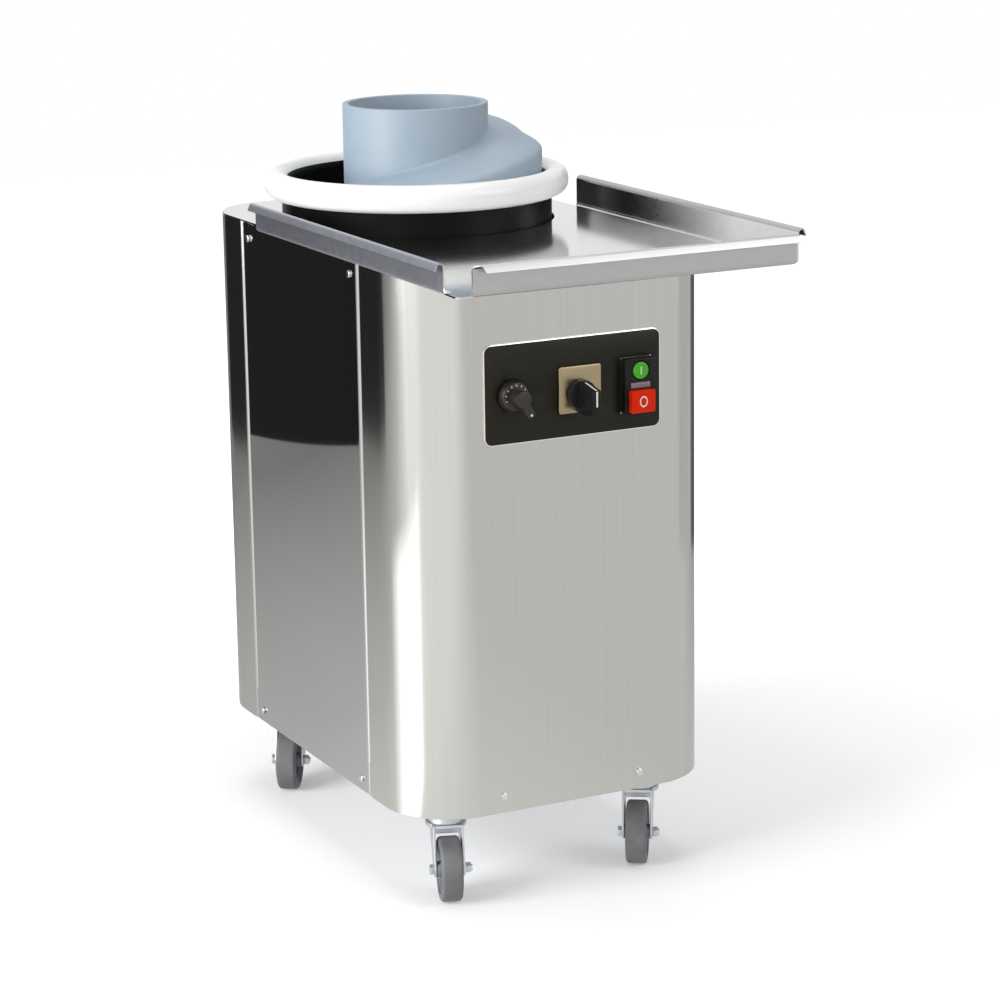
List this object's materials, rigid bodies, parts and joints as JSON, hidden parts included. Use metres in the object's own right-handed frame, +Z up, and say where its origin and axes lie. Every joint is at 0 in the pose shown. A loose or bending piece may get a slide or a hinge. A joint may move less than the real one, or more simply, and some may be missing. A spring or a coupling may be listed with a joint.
{
  "type": "dough rounder",
  "caption": "Dough rounder on casters: rounded steel cabinet, turning drum with white rim ring, fixed helical auger under a hopper tube, lipped tray and control plate.",
  "frame": {"origin": "on the floor, under the middle of the overall outline", "axes": "+Z up, -Y towards the front with the tray and the controls, +X to the right seen from the front"},
  "size_m": [0.4476, 0.7786, 0.8908],
  "materials": {
    "satin_steel": "fine brushed stainless steel",
    "polished_steel": "polished stainless steel",
    "zinc_steel": "bright zinc plate",
    "screw_steel": "bright turned steel",
    "drum_black": "satin black coating",
    "ring_white": "smooth gloss",
    "auger_coat": "matt non-stick coating",
    "cast_aluminium": "cast and turned",
    "motor_paint": "matt paint",
    "belt_rubber": "matt",
    "plate_aluminium": "satin edge",
    "film_black": "satin printed film",
    "selector_metal": "satin, warm tint",
    "control_black": "moulded satin",
    "switch_grey": "moulded matt",
    "start_green": "moulded gloss",
    "stop_red": "moulded gloss",
    "lens_grey": "moulded gloss",
    "wheel_grey": "moulded matt",
    "tyre_grey": "matt"
  },
  "bodies": {
    "cabinet": {"base_pan": "zinc_steel", "corner_posts": "zinc_steel", "deck_plate": "zinc_steel", "front_panel": "satin_steel", "rear_panel": "satin_steel", "left_cover": "polished_steel", "right_cover": "polished_steel", "cover_screws": "screw_steel", "panel_screws": "screw_steel", "top_tray": "polished_steel", "cable_gland": "control_black", "auger_post": "screw_steel", "post_bolts": "zinc_steel", "motor_plate": "zinc_steel", "motor_bolts": "zinc_steel", "motor_housing": "motor_paint", "motor_cowl": "motor_paint", "drive_belt": "belt_rubber", "speed_controller": "switch_grey", "control_plate": "plate_aluminium", "control_film": "film_black", "potentiometer": "switch_grey", "selector_plate": "selector_metal", "selector_switch": "switch_grey", "button_frame": "control_black", "pilot_lens": "lens_grey", "contact_block": "switch_grey", "caster_heads": "zinc_steel", "caster_bolts": "zinc_steel"},
    "drum_set": {"drum": "drum_black", "rim_ring": "ring_white", "drum_hub": "cast_aluminium", "drum_pulley": "cast_aluminium", "upper_bearing": "screw_steel", "lower_bearing": "screw_steel"},
    "auger_set": {"auger_tube": "auger_coat", "auger_flight": "auger_coat"},
    "rotor": {"motor_shaft": "screw_steel", "motor_pulley": "cast_aluminium"},
    "knob": {"speed_knob": "control_black"},
    "handle": {"selector_handle": "control_black"},
    "start": {"start_button": "start_green"},
    "stop": {"stop_button": "stop_red"},
    "swivel_fl": {"fork_fl": "zinc_steel", "axle_fl": "zinc_steel"},
    "roller_fl": {"wheel_fl": "wheel_grey", "tyre_fl": "tyre_grey"},
    "swivel_fr": {"fork_fr": "zinc_steel", "axle_fr": "zinc_steel"},
    "roller_fr": {"wheel_fr": "wheel_grey", "tyre_fr": "tyre_grey"},
    "swivel_rl": {"fork_rl": "zinc_steel", "axle_rl": "zinc_steel"},
    "roller_rl": {"wheel_rl": "wheel_grey", "tyre_rl": "tyre_grey"},
    "swivel_rr": {"fork_rr": "zinc_steel", "axle_rr": "zinc_steel"},
    "roller_rr": {"wheel_rr": "wheel_grey", "tyre_rr": "tyre_grey"}
  },
  "joints": [
    {"name": "drum_spin", "type": "hinge", "parent": "cabinet", "child": "drum_set", "pos_m": [-0.012, 0.1343, 0.5595], "axis": [0, 0, 1], "continuous": true},
    {"name": "motor_spin", "type": "hinge", "parent": "cabinet", "child": "rotor", "pos_m": [-0.012, -0.0157, 0.5], "axis": [0, 0, 1], "continuous": true},
    {"name": "auger_lift", "type": "slide", "parent": "cabinet", "child": "auger_set", "axis": [0, 0, 1], "range_m": [0, 0.34]},
    {"name": "speed_knob_turn", "type": "hinge", "parent": "cabinet", "child": "knob", "pos_m": [-0.073, -0.2307, 0.6015], "axis": [0, -1, 0], "range_deg": [0, 280]},
    {"name": "selector_turn", "type": "hinge", "parent": "cabinet", "child": "handle", "pos_m": [0.0115, -0.2307, 0.5945], "axis": [0, -1, 0], "range_deg": [-60, 60]},
    {"name": "start_press", "type": "slide", "parent": "cabinet", "child": "start", "axis": [0, 1, 0], "range_m": [0, 0.004], "stiffness_N_per_m": 400, "springref_m": -0.003},
    {"name": "stop_press", "type": "slide", "parent": "cabinet", "child": "stop", "axis": [0, 1, 0], "range_m": [0, 0.004], "stiffness_N_per_m": 400, "springref_m": -0.003},
    {"name": "caster_turn_fl", "type": "hinge", "parent": "cabinet", "child": "swivel_fl", "pos_m": [-0.129, -0.1577, 0.092], "axis": [0, 0, 1], "continuous": true},
    {"name": "wheel_roll_fl", "type": "hinge", "parent": "swivel_fl", "child": "roller_fl", "pos_m": [-0.13812, -0.18418, 0.038], "axis": [0.9455, -0.3256, 0], "continuous": true},
    {"name": "caster_turn_fr", "type": "hinge", "parent": "cabinet", "child": "swivel_fr", "pos_m": [0.129, -0.1577, 0.092], "axis": [0, 0, 1], "continuous": true},
    {"name": "wheel_roll_fr", "type": "hinge", "parent": "swivel_fr", "child": "roller_fr", "pos_m": [0.11375, -0.18118, 0.038], "axis": [0.8387, -0.5446, 0], "continuous": true},
    {"name": "caster_turn_rl", "type": "hinge", "parent": "cabinet", "child": "swivel_rl", "pos_m": [-0.129, 0.2963, 0.092], "axis": [0, 0, 1], "continuous": true},
    {"name": "wheel_roll_rl", "type": "hinge", "parent": "swivel_rl", "child": "roller_rl", "pos_m": [-0.14425, 0.27282, 0.038], "axis": [0.8387, -0.5446, 0], "continuous": true},
    {"name": "caster_turn_rr", "type": "hinge", "parent": "cabinet", "child": "swivel_rr", "pos_m": [0.129, 0.2963, 0.092], "axis": [0, 0, 1], "continuous": true},
    {"name": "wheel_roll_rr", "type": "hinge", "parent": "swivel_rr", "child": "roller_rr", "pos_m": [0.11673, 0.27113, 0.038], "axis": [0.8988, -0.4384, 0], "continuous": true}
  ],
  "couplings": [
    {"joint": "motor_spin", "follows": "drum_spin", "ratio": 2.9688}
  ]
}
